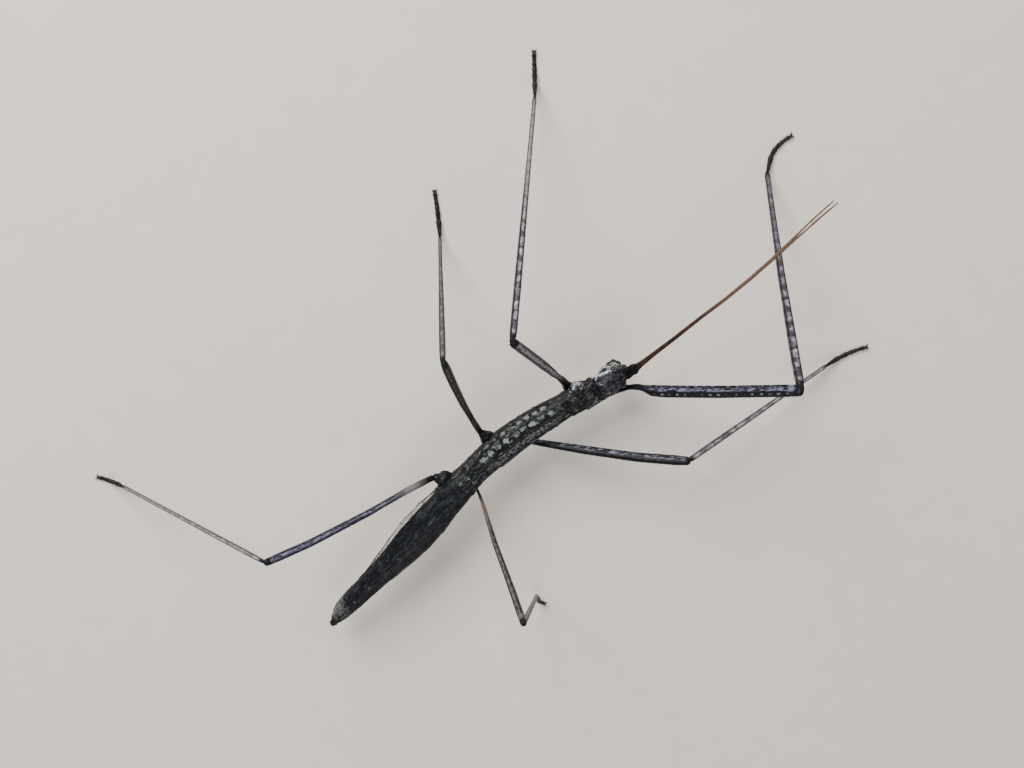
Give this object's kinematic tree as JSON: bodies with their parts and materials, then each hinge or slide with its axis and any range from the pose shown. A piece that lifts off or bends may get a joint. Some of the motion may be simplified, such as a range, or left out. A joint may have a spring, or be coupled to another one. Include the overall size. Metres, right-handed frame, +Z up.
{
  "type": "giant stick insect, wingless female, still model",
  "caption": "Life-size still model of a dark, wingless giant stick insect, standing on long banded legs bent high at the knee, with its antennae held together ahead.",
  "frame": {"origin": "on the floor, under the middle of the whole insect with its legs and antennae spread", "axes": "+Z up from the floor, -Y towards the head, +X towards the insect's own left"},
  "size_m": [0.149, 0.2308, 0.0687],
  "materials": {
    "trunk_shell": "near-black insect shell with grey-green mottling and pale oval spots, low satin sheen",
    "thigh": "dark blue-grey leg shell with pale lavender-grey dashes along its ridges",
    "shank": "grey leg shell with dark bands",
    "foot": "dark foot joints with slightly glossy claws and soft pale pads",
    "feeler": "dark red-brown at the base, paler orange-brown towards the tip",
    "mouth": "brown-grey mouthparts and palps, satin",
    "eye": "dark brown eye with a wet shine and darker streaks"
  },
  "bodies": {
    "root": {"abdomen_01": "trunk_shell", "abdomen_02": "trunk_shell", "abdomen_03": "trunk_shell", "abdomen_04": "trunk_shell", "abdomen_05": "trunk_shell", "abdomen_06": "trunk_shell", "abdomen_07": "trunk_shell", "abdomen_08": "trunk_shell", "abdomen_09": "trunk_shell", "abdomen_10": "trunk_shell", "antenna_left": "feeler", "antenna_right": "feeler", "cercus_left": "trunk_shell", "cercus_right": "trunk_shell", "coxa_fore_left": "trunk_shell", "coxa_fore_right": "trunk_shell", "coxa_hind_left": "trunk_shell", "coxa_hind_right": "trunk_shell", "coxa_middle_left": "trunk_shell", "coxa_middle_right": "trunk_shell", "eye_left": "eye", "eye_right": "eye", "femur_fore_left": "thigh", "femur_fore_right": "thigh", "femur_hind_left": "thigh", "femur_hind_right": "thigh", "femur_middle_left": "thigh", "femur_middle_right": "thigh", "head": "trunk_shell", "mesothorax": "trunk_shell", "metathorax": "trunk_shell", "mouthparts": "mouth", "operculum": "trunk_shell", "palp_left": "mouth", "palp_right": "mouth", "prothorax": "trunk_shell", "tarsus_fore_left": "foot", "tarsus_fore_right": "foot", "tarsus_hind_left": "foot", "tarsus_hind_right": "foot", "tarsus_middle_left": "foot", "tarsus_middle_right": "foot", "tibia_fore_left": "shank", "tibia_fore_right": "shank", "tibia_hind_left": "shank", "tibia_hind_right": "shank", "tibia_middle_left": "shank", "tibia_middle_right": "shank"}
  },
  "joints": []
}
